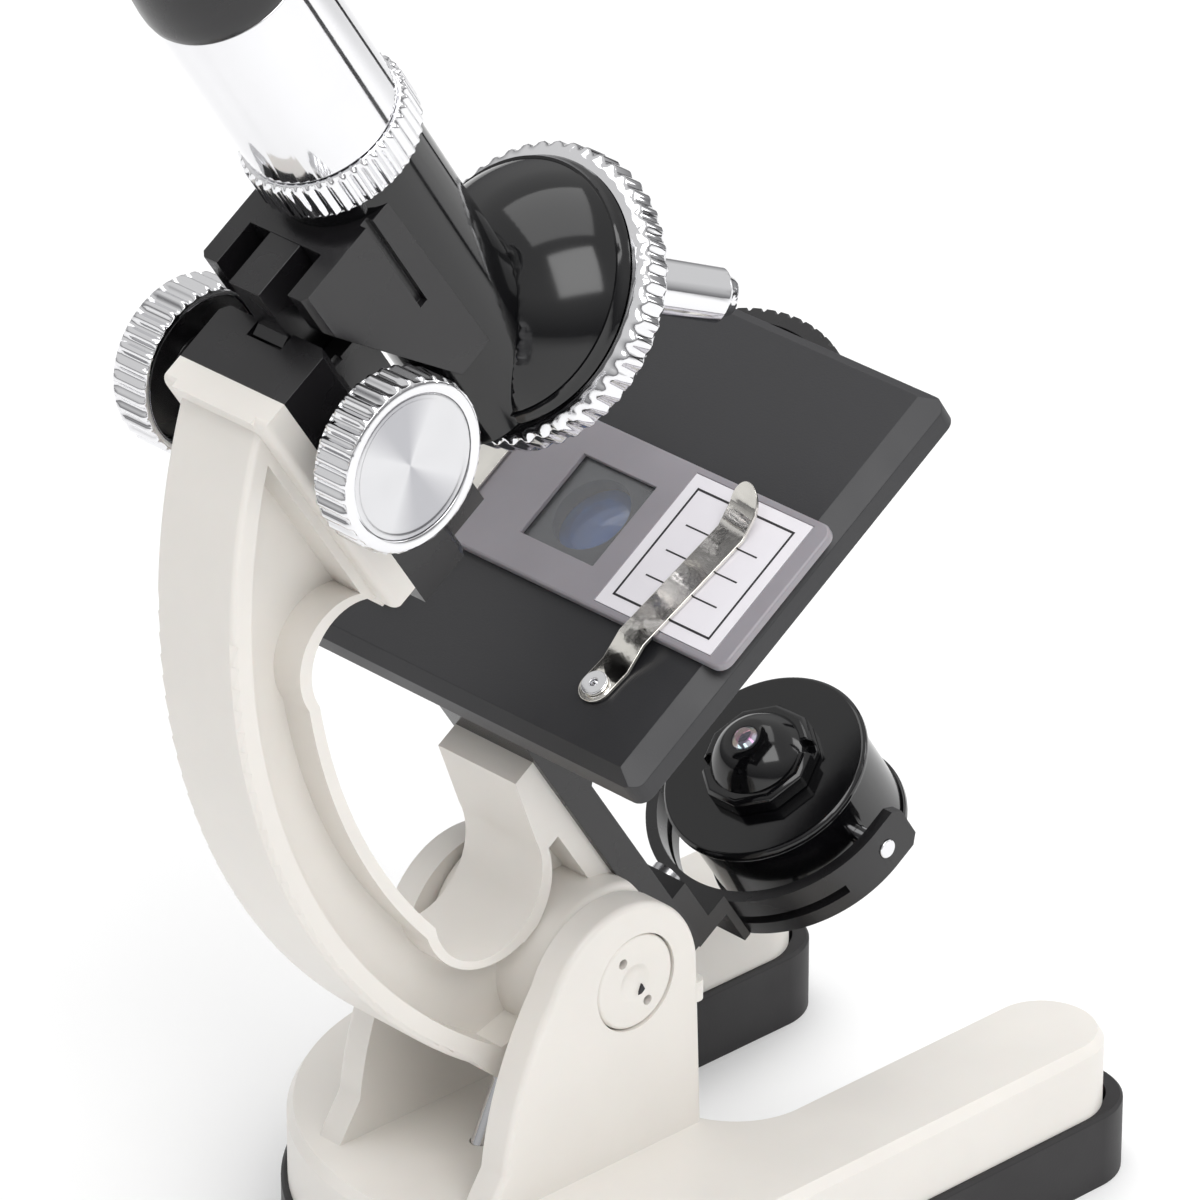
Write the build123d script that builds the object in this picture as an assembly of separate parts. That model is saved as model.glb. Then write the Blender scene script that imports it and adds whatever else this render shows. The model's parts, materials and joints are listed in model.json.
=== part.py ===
from build123d import *
import math
import os

# Student microscope with a tilting arm, rack focus, three-objective turret and swivelling lamp.
#
# World frame: +Z up, origin on the foot's rest face right under the arm's pivot, -Y towards the
# stage side, +Y towards the user, X along the pivot and the focus shaft.
# Arm frame: origin where the optical axis meets the stage top, Z up the optical axis, Y back
# to the arm. Every piece that the arm carries is drawn there and then placed by ARM_FRAME.

# ---- driving dimensions, mm and degrees ----
ARM_TILT = 33.2                 # lean of the optical axis at rest
PIVOT_Z = 52.0                  # pivot axis above the rest face
PIVOT_BACK = 42.5               # pivot behind the optical axis, arm frame
PIVOT_DROP = 49.6               # pivot below the stage top, arm frame

HEEL_Y = 38.0
SOLE_TIP_Y = -81.5
SHELL_TIP_Y = -77.5
FOOT_HALF_WIDTH = 43.0
PRONG_INNER = 23.0              # half gap between the prongs at the sole
ARCH_BACK_Y = -14.5             # back wall of the arch between the prongs
ARCH_CORNER = 11.0
SOLE_HEIGHT = 12.0
SHELL_TOP = 24.0
SHELL_LEDGE = 1.0               # the sole stands proud of the shell by this
SHELL_WALL = 2.2
EAR_INNER = 12.8
EAR_OUTER = 17.8
CAP_RADIUS = 7.4
SHAFT_RADIUS = 4.0
RUNNING_GAP = 0.05

ARM_HALF = 8.0                  # half width of the C-shaped arm
WEB_HALF = 2.6
HEAD_HALF = 10.5
FRONT_FACE = 32.0               # arm's front plane behind the optical axis
HEAD_TOP = 72.3
HEAD_BOTTOM = 30.0
HEAD_BACK = 36.5
BOW_CENTRE = (-24.0, -6.3)      # centre of the arm's big curves, (y, z)
BOW_OUTER = 97.8
BOW_INNER = 83.4
OUTER_FLANGE = 3.5
INNER_FLANGE = 1.9
BOSS_HALF = 12.3
BOSS_RADIUS = 13.0

STAGE_HALF = 36.7
STAGE_FRONT = -38.5
STAGE_BACK = 33.5
STAGE_THICK = 6.5
STAGE_BEVEL = 1.8
SIDE_BEVEL = (3.2, 2.4)         # across and down
STAGE_HOLLOW = 3.8
LIGHT_HOLE = 7.0
SLIDE_LENGTH = 76.0
SLIDE_WIDTH = 26.0
SLIDE_THICK = 1.5
CLIP_X = 21.2
CLIP_Y = 22.8
CLIP_SWING = 6.0                # the left clip lies swung out by this
CLIP_WIDTH = 5.4
CLIP_REACH = 32.2               # rivet to the centre of the round tip
FILTER_Y = -20.0
FILTER_RADIUS = 23.4

KNOB_RADIUS = 12.6
KNOB_FACE_X = 23.8
KNOB_THICK = 6.8
SHAFT_Y = 27.2                  # focus shaft
SHAFT_Z = 59.1
TOOTH_MODULE = 0.8
PINION_TEETH = 8
RACK_HALF = 3.0

TUBE_TOP = 84.7
TUBE_RADIUS = 11.0
COLLAR_TOP = 91.2
EYEPIECE_TOP = 121.0
CUP_TOP = 134.5
EYEPIECE_RADIUS = 11.4

TURRET_TILT = 24.5
TURRET_APEX = 62.5              # height of the turret's cone point on the optical axis
DOME_EDGE = 24.2                # apex to the dome's rim plane, along the turret axis
DOME_RIM = 19.2
TURRET_RADIUS = 21.7
TURRET_THICK = 5.6
OBJECTIVE_TIPS = (43.6, 49.6, 47.0)

LAMP_Z = -71.5                  # trunnion axis below the stage top
LAMP_RADIUS = 15.0
LAMP_HALF = 8.9
FLANGE_RADIUS = 16.0
YOKE_INNER = 18.9
YOKE_OUTER = 20.7

PINION_RADIUS = TOOTH_MODULE * PINION_TEETH / 2
ARM_FRAME = Pos(0, 0, PIVOT_Z) * Rot(-ARM_TILT, 0, 0) * Pos(0, -PIVOT_BACK, PIVOT_DROP)
TURRET_FRAME = Pos(0, 0, TURRET_APEX) * Rot(-TURRET_TILT, 0, 0)
LAMP_FRAME = Pos(0, 0, LAMP_Z)
SIDES = (("left", -1), ("right", 1))

# ---- screw positions ----
SOLE_SCREWS = [(x, y) for x in (-33, 33) for y in (-64, -22)] + [(-14, 26), (14, 26)]
HOUSING_SCREWS = [(x, z) for x in (-7.4, 7.4) for z in (33.5, 67.5)]
BRACKET_SCREWS = (-22, -41)
STAGE_SCREWS = [(-12, 10), (12, 10), (-12, 20), (12, 20)]
RACK_SCREWS = (60, 76)


# ---- small helpers ----
def block(x, y, z):
    """A box from three (low, high) pairs."""
    centre = Pos((x[0] + x[1]) / 2, (y[0] + y[1]) / 2, (z[0] + z[1]) / 2)
    return centre * Box(x[1] - x[0], y[1] - y[0], z[1] - z[0])


def post(x, y, radius, z0, z1):
    """A cylinder along Z."""
    return Pos(x, y, (z0 + z1) / 2) * Cylinder(radius, z1 - z0)


def bar(y, z, radius, x0, x1):
    """A cylinder along X."""
    return Pos((x0 + x1) / 2, y, z) * Rot(0, 90, 0) * Cylinder(radius, x1 - x0)


def pin_y(x, z, radius, y0, y1):
    """A cylinder along Y."""
    return Pos(x, (y0 + y1) / 2, z) * Rot(90, 0, 0) * Cylinder(radius, y1 - y0)


def turned(points):
    """A solid of revolution about Z from (radius, z) points."""
    outline = make_face(Plane.XZ * Polyline(*points, close=True))
    return revolve(outline, Axis.Z)


def slab(outline, x0, x1):
    """A (y, z) face drawn on the YZ plane, as a solid from x0 to x1."""
    return Pos(x0, 0, 0) * extrude(outline, x1 - x0)


def side_face(*edges):
    """A closed face on the YZ plane from edges given in (y, z)."""
    return Plane.YZ * make_face(Curve() + list(edges))


def fluted(count, radius, depth, duty=0.62):
    """A round face with shallow flat-topped flutes."""
    step = 2 * math.pi / count
    points = []
    for tooth in range(count):
        middle = tooth * step
        for offset, reach in ((-duty / 2, radius), (duty / 2, radius),
                              (duty / 2 + 0.1, radius - depth), (0.9 - duty / 2, radius - depth)):
            angle = middle + offset * step
            points.append((reach * math.cos(angle), reach * math.sin(angle)))
    return make_face(Polyline(*points, close=True))


def on_bow(radius, z):
    """The (y, z) point of the arm's big curve of this radius at height z."""
    return (BOW_CENTRE[0] + math.sqrt(radius ** 2 - (z - BOW_CENTRE[1]) ** 2), z)


def screw(radius, head_radius, head, length):
    """A pan-head screw along -Z from a head seated at z = 0, with a cross slot."""
    body = post(0, 0, head_radius, 0, head) + post(0, 0, radius, -length, 0)
    for turn in (0, 90):
        body -= Rot(0, 0, turn) * block((-head_radius * 0.6, head_radius * 0.6), (-0.25, 0.25),
                                        (head * 0.5, head + 1))
    return body


def pair(make):
    """The left and right copies of a mirrored piece as one node."""
    return Compound([make(side) for _, side in SIDES])


def keep(name, shape):
    """Write one node."""
    export_step(shape, f"parts/{name}.step")


# ---- foot, world frame ----
def foot_outline(inset, tip_y=SOLE_TIP_Y):
    """Horseshoe plan: two round-ended prongs and a half-round heel."""
    outer = FOOT_HALF_WIDTH - inset
    inner = PRONG_INNER + inset
    reach = (outer - inner) / 2
    tip = tip_y + inset + reach
    shoulder = HEEL_Y - FOOT_HALF_WIDTH
    arch = ARCH_BACK_Y + inset
    corner = ARCH_CORNER + inset
    bend = corner * (1 - math.sqrt(0.5))
    edges = [ThreePointArc((outer, shoulder), (0, HEEL_Y - inset), (-outer, shoulder)),
             Line((inner - corner, arch), (corner - inner, arch))]
    for side in (-1, 1):
        edges += [Line((side * outer, shoulder), (side * outer, tip)),
                  ThreePointArc((side * outer, tip), (side * (outer - reach), tip - reach),
                                (side * inner, tip)),
                  Line((side * inner, tip), (side * inner, arch - corner)),
                  ThreePointArc((side * inner, arch - corner), (side * (inner - bend), arch - bend),
                                (side * (inner - corner), arch))]
    return make_face(Curve() + edges)


def ear_outline():
    """One ear in (y, z): round head about the pivot, upright front, flared back."""
    points = {"front": (-12.4, 0), "crown": (1, 12.7), "shoulder": (15.6, 3.6), "back": (21.5, -7),
              "waist": (25.5, -22), "heel": (31.5, -31), "toe": (-13.5, -31)}
    at = {name: (y, PIVOT_Z + z) for name, (y, z) in points.items()}
    return side_face(
        ThreePointArc(at["front"], at["crown"], at["shoulder"]),
        ThreePointArc(at["shoulder"], at["back"], at["waist"]),
        Line(at["waist"], at["heel"]),
        Line(at["heel"], at["toe"]),
        Line(at["toe"], at["front"]),
    )


def foot_shell():
    """White upper half of the foot with the two ears that hold the arm."""
    height = SHELL_TOP - SOLE_HEIGHT
    plan = foot_outline(SHELL_LEDGE, SHELL_TIP_Y - SHELL_LEDGE)
    outside = Pos(0, 0, SOLE_HEIGHT) * extrude(plan, height)
    rim = outside.edges().filter_by_position(Axis.Z, SHELL_TOP - 0.01, SHELL_TOP + 0.01)
    shell = chamfer(rim, 1.6, 1.0)
    hollow = foot_outline(SHELL_LEDGE + SHELL_WALL, SHELL_TIP_Y - SHELL_LEDGE)
    shell -= Pos(0, 0, SOLE_HEIGHT) * extrude(hollow, height - SHELL_WALL)
    for x, y in SOLE_SCREWS:
        shell += post(x, y, 3.2, SOLE_HEIGHT, SHELL_TOP - SHELL_WALL + 0.5)
        shell -= post(x, y, 1.2, SOLE_HEIGHT - 1, SHELL_TOP - SHELL_WALL - 2)
    for side in (-1, 1):
        ear = slab(ear_outline(), min(side * EAR_INNER, side * EAR_OUTER),
                   max(side * EAR_INNER, side * EAR_OUTER))
        round_edges = ear.faces().sort_by(Axis.X)[-1 if side > 0 else 0].edges()
        ear = fillet(round_edges, 1.0)
        ear -= bar(0, PIVOT_Z, CAP_RADIUS + 0.15, *sorted((side * 15.6, side * 19)))
        ear -= bar(0, PIVOT_Z, SHAFT_RADIUS + RUNNING_GAP, *sorted((side * 12, side * 19)))
        lug = Pos(side * 16.2, -12.8, PIVOT_Z - 6.5) * Cylinder(1.5, 3.2)
        shell += ear + lug
    shell -= stop_rod_path(1.6)
    return shell


def sole_tray():
    """Black sole: a tray with a floor, closed by the shell above it."""
    tray = extrude(foot_outline(0), SOLE_HEIGHT)
    lip = tray.edges().filter_by_position(Axis.Z, SOLE_HEIGHT - 0.01, SOLE_HEIGHT + 0.01)
    tray = chamfer(lip, 0.5)
    tray -= Pos(0, 0, 2.2) * extrude(foot_outline(2.6), SOLE_HEIGHT)
    for x, y in SOLE_SCREWS:
        tray += post(x, y, 3.4, 0.5, SOLE_HEIGHT)
        tray -= post(x, y, 1.6, -1, SOLE_HEIGHT + 1)
        tray -= post(x, y, 2.9, -1, 4)
    return tray


def sole_screws():
    """Long screws up through the sole into the shell's bosses."""
    group = []
    for x, y in SOLE_SCREWS:
        group.append(Pos(x, y, 4) * Rot(180, 0, 0) * screw(1.15, 2.6, 1.8, 13))
    return Compound(group)


def ballast_plate():
    """Steel weight lying on the sole's floor under the heel."""
    plate = Pos(0, 9, 4.3) * Box(52, 26, 4)
    return fillet(plate.edges().filter_by(Axis.Z), 4)


def pivot_shaft():
    """Steel shaft through both ears and the arm's boss."""
    shaft = bar(0, PIVOT_Z, SHAFT_RADIUS, -15.5, 15.5)
    return shaft - bar(0, PIVOT_Z, 1.5, -20, 20)


def pivot_cap(side):
    """White screw-in cap with two key holes, a dished centre and a spigot."""
    cap = bar(0, 0, CAP_RADIUS, *sorted((side * 15.65, side * 17.9)))
    outer_edge = cap.edges().filter_by(GeomType.CIRCLE).sort_by(Axis.X)[-1 if side > 0 else 0]
    cap = fillet(outer_edge, 0.5)
    cap -= Pos(side * 20.6, 0, 0) * Sphere(3.6)
    for key in (-1, 1):
        cap -= bar(key * 4.9 * math.cos(0.9), key * -4.9 * math.sin(0.9), 0.75,
                   *sorted((side * 16.6, side * 19)))
    cap += bar(0, 0, 1.45, *sorted((side * 10, side * 15.8)))
    return Pos(0, 0, PIVOT_Z) * cap


def friction_washer(side):
    """Thin steel washer between an ear and the boss."""
    span = sorted((side * (BOSS_HALF + 0.05), side * (EAR_INNER - 0.05)))
    return bar(0, PIVOT_Z, 8, *span) - bar(0, PIVOT_Z, SHAFT_RADIUS + RUNNING_GAP, *span)


def stop_rod_path(radius):
    """The stop rod's line, from the foot up and forward to the arm's tail."""
    line = Line((0, 16.6, SHELL_TOP - 6), (0, 9.0, SHELL_TOP + 9.6))
    return sweep(Plane(origin=line @ 0, z_dir=line % 0) * Circle(radius), path=line)


def stop_rod():
    """Chromed rod pressed in the foot: the arm's tail rests over it at full tilt."""
    return stop_rod_path(1.45)


# ---- arm, arm frame ----
def arm_outline():
    """The C shape in (y, z): head, big bow, tail round the pivot, post and throat."""
    tail = on_bow(BOW_OUTER, -46)
    throat_low = on_bow(BOW_INNER, -20)
    throat_high = on_bow(BOW_INNER, 27)
    return side_face(
        Line((FRONT_FACE, HEAD_TOP), (HEAD_BACK, HEAD_TOP)),
        Line((HEAD_BACK, HEAD_TOP), (HEAD_BACK, 70)),
        ThreePointArc((HEAD_BACK, 70), on_bow(BOW_OUTER, 10), tail),
        ThreePointArc(tail, (63, -54), (57.5, -62.6)),
        ThreePointArc((57.5, -62.6), (47, -68.6), (38, -66)),
        Line((38, -66), (FRONT_FACE, -59)),
        Line((FRONT_FACE, -59), (FRONT_FACE, -14)),
        Line((FRONT_FACE, -14), (36, -14)),
        Line((36, -14), (38.5, -25)),
        ThreePointArc((38.5, -25), (49, -34.4), throat_low),
        ThreePointArc(throat_low, on_bow(BOW_INNER, 0), throat_high),
        ThreePointArc(throat_high, (45, 35.6), (HEAD_BACK, 32)),
        Line((HEAD_BACK, 32), (HEAD_BACK, HEAD_BOTTOM)),
        Line((HEAD_BACK, HEAD_BOTTOM), (FRONT_FACE, HEAD_BOTTOM)),
        Line((FRONT_FACE, HEAD_BOTTOM), (FRONT_FACE, HEAD_TOP)),
    )


def recess_outline():
    """The long hollow between the arm's outer and inner flanges."""
    outer = BOW_OUTER - OUTER_FLANGE
    inner = BOW_INNER + INNER_FLANGE
    apex = (38.0, BOW_CENTRE[1] + math.sqrt(outer ** 2 - (38.0 - BOW_CENTRE[0]) ** 2))
    bottom = on_bow(outer, -47)
    low = on_bow(inner, -20)
    high = on_bow(inner, 28)
    return side_face(
        ThreePointArc(apex, on_bow(outer, 10), bottom),
        Line(bottom, (50, -50)),
        Line((50, -50), (49, -36.4)),
        ThreePointArc((49, -36.4), (57.6, -31.6), low),
        ThreePointArc(low, on_bow(inner, 0), high),
        ThreePointArc(high, (45.5, 37.6), (38.0, 35.0)),
        Line((38.0, 35.0), apex),
    )


def small_recess_outline():
    """The pocket between the arm's front post, the throat's wall and the boss."""
    return side_face(
        Line((35.4, -28), (37.6, -28)),
        ThreePointArc((37.6, -28), (41.4, -34.2), (46, -36.6)),
        Line((46, -36.6), (50.5, -36.6)),
        Line((50.5, -36.6), (50.5, -50)),
        Line((50.5, -50), (35.4, -50)),
        Line((35.4, -50), (35.4, -28)),
    )


def arm():
    """White C-shaped arm with an I section, T-shaped head and pivot boss."""
    body = slab(arm_outline(), -ARM_HALF, ARM_HALF)
    for side in (-1, 1):
        edges = body.faces().sort_by(Axis.X)[-1 if side > 0 else 0].edges()
        body = fillet(edges.sort_by(SortBy.LENGTH)[-1], 1.0)
    for side in (-1, 1):
        for outline in (recess_outline(), small_recess_outline()):
            depth = ARM_HALF - WEB_HALF
            start = Pos(side * WEB_HALF, 0, 0) * outline
            body -= extrude(start, side * (depth + 1), dir=(1, 0, 0))
    head = block((-HEAD_HALF, HEAD_HALF), (FRONT_FACE, HEAD_BACK), (HEAD_BOTTOM, HEAD_TOP))
    head = fillet(head.faces().sort_by(Axis.Y)[-1].edges(), 1.4)
    body += head
    boss = bar(PIVOT_BACK, -PIVOT_DROP, BOSS_RADIUS, -BOSS_HALF, BOSS_HALF)
    boss = fillet(boss.edges().filter_by(GeomType.CIRCLE), 1.5)
    body += boss - block((-20, 20), (20, FRONT_FACE), (-80, -10))
    body -= bar(PIVOT_BACK, -PIVOT_DROP, SHAFT_RADIUS + RUNNING_GAP, -20, 20)
    for x, z in HOUSING_SCREWS:
        body -= pin_y(x, z, 1.2, FRONT_FACE - 1, HEAD_BACK - 1)
    for z in BRACKET_SCREWS:
        body -= pin_y(0, z, 1.2, FRONT_FACE - 1, FRONT_FACE + 4.6)
    return body


def rack_housing():
    """Black block on the arm's head: rails for the carriage and a bearing for the shaft."""
    body = block((-HEAD_HALF, HEAD_HALF), (22.4, FRONT_FACE), (26.5, HEAD_TOP))
    body = chamfer(body.edges().filter_by(Axis.Z).sort_by(Axis.Y)[:2], 1.2)
    for side in (-1, 1):
        body += block(sorted((side * 3.5, side * 6.7)), (14.7, 22.6), (26.5, 66.0))
    body -= block((-3.4, 3.4), (13, 25.2), (20, 80))
    body -= bar(SHAFT_Y, SHAFT_Z, PINION_RADIUS + TOOTH_MODULE + 0.5, -3.4, 3.4)
    body -= bar(SHAFT_Y, SHAFT_Z, 1.5 + RUNNING_GAP, -20, 20)
    for x, z in HOUSING_SCREWS:
        body -= pin_y(x, z, 1.3, 20, 34)
        body -= pin_y(x, z, 2.3, 20, 25)
    return body


def housing_screws():
    """Four screws through the rack housing into the arm's head."""
    group = [Pos(x, 25, z) * Rot(90, 0, 0) * screw(1.15, 2.1, 1.6, 10) for x, z in HOUSING_SCREWS]
    return Compound(group)


def stage_bracket():
    """Black bracket on the arm's front plane: carries the stage above and the yoke below."""
    plate = block((-9, 9), (27.2, FRONT_FACE), (-66, -STAGE_THICK))
    plate += block((-15, 15), (6, FRONT_FACE), (-STAGE_THICK - 2.8, -STAGE_THICK))
    for x in (-8, 8):
        rib = side_face(Line((27.4, -8), (10, -8)), Line((10, -8), (27.4, -26)),
                        Line((27.4, -26), (27.4, -8)))
        plate += slab(rib, x - 1, x + 1)
    for side in (-1, 1):
        plate += block(sorted((side * 9, side * 15)), (24, 28.5), (-16, -STAGE_THICK - 2))
    for z in BRACKET_SCREWS:
        plate -= pin_y(0, z, 1.3, 20, 40)
    for x, y in STAGE_SCREWS:
        plate -= post(x, y, 1.3, -20, 0)
    plate -= pin_y(0, -61, 1.2, 20, 40)
    return plate


def bracket_screws():
    """Two screws that hold the bracket to the arm, and one for the yoke's leg."""
    return Compound([Pos(0, 27.2, z) * Rot(90, 0, 0) * screw(1.15, 2.4, 1.6, 9) for z in BRACKET_SCREWS] +
                    [in_lamp(Pos(0, 23.4, 10.5) * Rot(90, 0, 0) * screw(1.15, 2.4, 1.6, 8))])


def stage_screws():
    """Four short screws up into the stage."""
    under = -STAGE_THICK - 2.8
    group = [Pos(x, y, under) * Rot(180, 0, 0) * screw(1.15, 2.2, 1.4, 5.6) for x, y in STAGE_SCREWS]
    return Compound(group)


def stage_plate():
    """Square black stage, bevelled all round, ribbed underneath, with a stepped light hole."""
    depth = STAGE_BACK - STAGE_FRONT
    plate = block((-STAGE_HALF, STAGE_HALF), (STAGE_FRONT, STAGE_BACK), (-STAGE_THICK, 0))
    plate = fillet(plate.edges().filter_by(Axis.Z), 2.2)
    plate = chamfer(plate.faces().sort_by(Axis.Z)[0].edges(), 0.8)
    across, down = SIDE_BEVEL
    for side in (-1, 1):
        edge_x = side * (STAGE_HALF - across)
        beyond = side * (STAGE_HALF + 1)
        wedge = Polyline((edge_x, 0), (beyond, -down - down / across), (beyond, 1), (edge_x, 1), close=True)
        plate -= Pos(0, 50, 0) * extrude(Plane.XZ * make_face(wedge), 100)
    for edge_y, inward in ((STAGE_FRONT, 1), (STAGE_BACK, -1)):
        wedge = Polyline((edge_y + inward * STAGE_BEVEL, 0), (edge_y - inward, -STAGE_BEVEL - 1),
                         (edge_y - inward, 1), (edge_y + inward * STAGE_BEVEL, 1), close=True)
        plate -= slab(Plane.YZ * make_face(wedge), -60, 60)
    hollow = Pos(0, (STAGE_BACK + STAGE_FRONT) / 2) * Rectangle(2 * STAGE_HALF - 5, depth - 5)
    cut = Pos(0, 0, -STAGE_THICK) * extrude(hollow, STAGE_HOLLOW)
    ribs = block((-40, 40), (-1, 1), (-STAGE_THICK, 0)) + block((-1, 1), (-40, 40), (-STAGE_THICK, 0))
    ribs += post(0, 0, LIGHT_HOLE + 2.2, -STAGE_THICK, 0) + post(0, FILTER_Y, 4, -STAGE_THICK, 0)
    for x, y in STAGE_SCREWS:
        ribs += post(x, y, 2.6, -STAGE_THICK, 0)
    plate -= cut - ribs
    plate -= post(0, 0, LIGHT_HOLE - 1.0, -10, 1) + post(0, 0, LIGHT_HOLE, -10, -2.4)
    plate -= post(0, FILTER_Y, 1.2, -10, -1.2)
    for x, y in STAGE_SCREWS:
        plate -= post(x, y, 1.2, -10, -2)
    for side in (-1, 1):
        plate -= post(side * CLIP_X, CLIP_Y, 1.25, -10, 1)
    return plate


def condenser_lens():
    """Plano-convex lens under the stage hole."""
    return turned([(0, -4.6), (LIGHT_HOLE - 0.2, -4.6), (LIGHT_HOLE - 0.2, -3.6), (4.6, -2.9), (0, -2.5)])


def lens_ring():
    """Black ring that holds the lens in the stage."""
    return post(0, 0, LIGHT_HOLE - 0.05, -6.2, -4.7) - post(0, 0, LIGHT_HOLE - 1.4, -7, -4)


def stage_clip(side):
    """Sprung steel clip: pill-shaped leaf from its rivet to an upturned tip."""
    half = CLIP_WIDTH / 2
    plan = Pos(0, -CLIP_REACH / 2) * SlotCenterToCenter(CLIP_REACH, CLIP_WIDTH, rotation=90)
    flat = SLIDE_THICK + 0.45
    tip = -CLIP_REACH - half
    line = Polyline((half, 0.45), (-4, 0.45), (-8.2, flat), (tip + 6.4, flat),
                    (tip + 2.8, flat + 1.7), (tip - 0.5, flat + 4.6))
    strip = slab(Plane.YZ * trace(line, 0.6), -half, half)
    clip = strip & Pos(0, 0, -1) * extrude(plan, 12)
    clip -= post(0, 0, 1.3, -1, 3)
    swing = -CLIP_SWING if side < 0 else 0
    return Pos(side * CLIP_X, CLIP_Y, 0) * Rot(0, 0, swing) * clip


def clip_rivets():
    """Hollow rivets that the clips turn on."""
    group = []
    for side in (-1, 1):
        rivet = post(0, 0, 1.2, -4.2, 1.0) + post(0, 0, 2.0, 0.85, 1.5) + post(0, 0, 1.9, -3.3, -2.75)
        rivet -= post(0, 0, 0.6, 0.2, 3)
        group.append(Pos(side * CLIP_X, CLIP_Y, 0) * rivet)
    return Compound(group)


def specimen_slide():
    """Moulded slide carrier with rounded corners and a square window."""
    half_x = SLIDE_LENGTH / 2
    half_y = SLIDE_WIDTH / 2
    plate = block((-half_x, half_x), (-half_y, half_y), (0.1, SLIDE_THICK))
    plate = fillet(plate.edges().filter_by(Axis.Z), 2.0)
    plate = chamfer(plate.faces().sort_by(Axis.Z)[-1].edges(), 0.25)
    plate -= block((-7.4, 7.4), (-7.4, 7.4), (-1, 3))
    plate -= block((-8.0, 8.0), (-8.0, 8.0), (0, 0.7))
    plate -= block((-34.9, -11.6), (-11.9, 11.9), (SLIDE_THICK - 0.25, 3))
    return plate


def slide_window():
    """Thin clear window with the specimen pressed in it."""
    return block((-7.9, 7.9), (-7.9, 7.9), (0.15, 0.65))


def slide_label():
    """Blank card with a ruled border, let in flush at the slide's end."""
    return block((-34.8, -11.7), (-11.8, 11.8), (SLIDE_THICK - 0.25, SLIDE_THICK - 0.02))


def filter_disc():
    """Knurled wheel under the stage with a ring of light stops and filters."""
    wheel = Pos(0, 0, -9.6) * extrude(fluted(60, FILTER_RADIUS, 0.5), 2.4)
    wheel -= post(0, 0, 1.45, -20, 0)
    wheel -= post(0, 0, FILTER_RADIUS - 2.4, -8.0, -6)
    for number in range(5):
        spot = Rot(0, 0, 72 * number) * Pos(0, -FILTER_Y * 0.76)
        wheel -= spot * post(0, 0, 3.6 - 0.45 * number, -12, -6)
    return Pos(0, FILTER_Y, 0) * wheel


def filter_gels():
    """Thin coloured discs that lie over two of the wheel's holes."""
    group = []
    for number in range(2):
        spot = Rot(0, 0, 72 * number) * Pos(0, -FILTER_Y * 0.76)
        group.append(Pos(0, FILTER_Y, 0) * spot * post(0, 0, 4.6, -7.98, -7.6))
    return Compound(group)


def filter_screw():
    """Shoulder screw that the wheel turns on."""
    body = post(0, 0, 1.4, -9.9, -6.5) + post(0, 0, 1.15, -6.6, -1.4) + post(0, 0, 2.8, -11.2, -9.8)
    return Pos(0, FILTER_Y, 0) * (body - block((-2, 2), (-0.3, 0.3), (-12, -10.6)))


# ---- focusing, arm frame ----
def focus_shaft():
    """Steel cross shaft of the focus knobs."""
    return bar(SHAFT_Y, SHAFT_Z, 1.5, -21.8, 21.8)


def pinion():
    """Eight-tooth brass pinion, with a gap facing the rack."""
    root = PINION_RADIUS - TOOTH_MODULE * 1.15
    tip = PINION_RADIUS + TOOTH_MODULE * 0.9
    step = 2 * math.pi / PINION_TEETH
    points = []
    for tooth in range(PINION_TEETH):
        middle = (tooth + 0.5) * step
        for reach, half in ((root, -0.62), (PINION_RADIUS, -0.42), (tip, -0.16),
                            (tip, 0.16), (PINION_RADIUS, 0.42), (root, 0.62)):
            angle = middle + half / reach
            points.append((SHAFT_Y + reach * math.cos(angle), SHAFT_Z + reach * math.sin(angle)))
    gear = slab(make_face(Plane.YZ * Polyline(*points, close=True)), -2.9, 2.9)
    return gear - bar(SHAFT_Y, SHAFT_Z, 1.5, -5, 5)


def rack():
    """Toothed strip fixed in the carriage, teeth facing back to the pinion."""
    pitch = math.pi * TOOTH_MODULE
    line = SHAFT_Y - PINION_RADIUS
    root = line - TOOTH_MODULE * 1.15
    tip = line + TOOTH_MODULE * 0.9
    bottom = 35.0
    top = 81.6
    first = math.ceil((bottom - SHAFT_Z) / pitch)
    last = math.floor((76.0 - SHAFT_Z) / pitch)
    points = [(14.0, bottom), (root, bottom)]
    for tooth in range(first, last):
        middle = SHAFT_Z + tooth * pitch
        if middle - 0.72 < bottom:
            continue
        points += [(root, middle - 0.72), (tip, middle - 0.18),
                   (tip, middle + 0.18), (root, middle + 0.72)]
    points += [(root, top), (14.0, top)]
    return slab(make_face(Plane.YZ * Polyline(*points, close=True)), -RACK_HALF, RACK_HALF)


def knob_drum(side):
    """Chromed fluted cap of a focus knob, open at the back."""
    drum = extrude(fluted(34, KNOB_RADIUS, 0.75), KNOB_THICK)
    drum -= post(0, 0, 10.4, KNOB_THICK - 1.1, KNOB_THICK + 1)
    drum -= post(0, 0, 10.9, -1, KNOB_THICK - 2.2)
    drum -= post(0, 0, 4.6, -1, KNOB_THICK + 1)
    return knob_place(side) * drum


def knob_place(side):
    """Frame of a knob: local Z points outwards along the shaft."""
    return Pos(side * (KNOB_FACE_X - KNOB_THICK), SHAFT_Y, SHAFT_Z) * Rot(0, side * 90, 0)


def knob_hub(side):
    """Black hub that grips the shaft inside the chromed cap."""
    depth = KNOB_THICK - 2.25
    hub = post(0, 0, 4.4, -5.8, depth + 1.1) + post(0, 0, 10.6, depth - 1.6, depth)
    hub -= post(0, 0, 1.5, -7, 4.8)
    return knob_place(side) * hub


def knob_face(side):
    """Dished spun aluminium disc let into the knob's outer face."""
    low = KNOB_THICK - 1.05
    return knob_place(side) * turned([(0, low), (10.3, low), (10.3, low + 0.75), (9.6, low + 0.75),
                                      (0, low + 0.35)])


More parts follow.
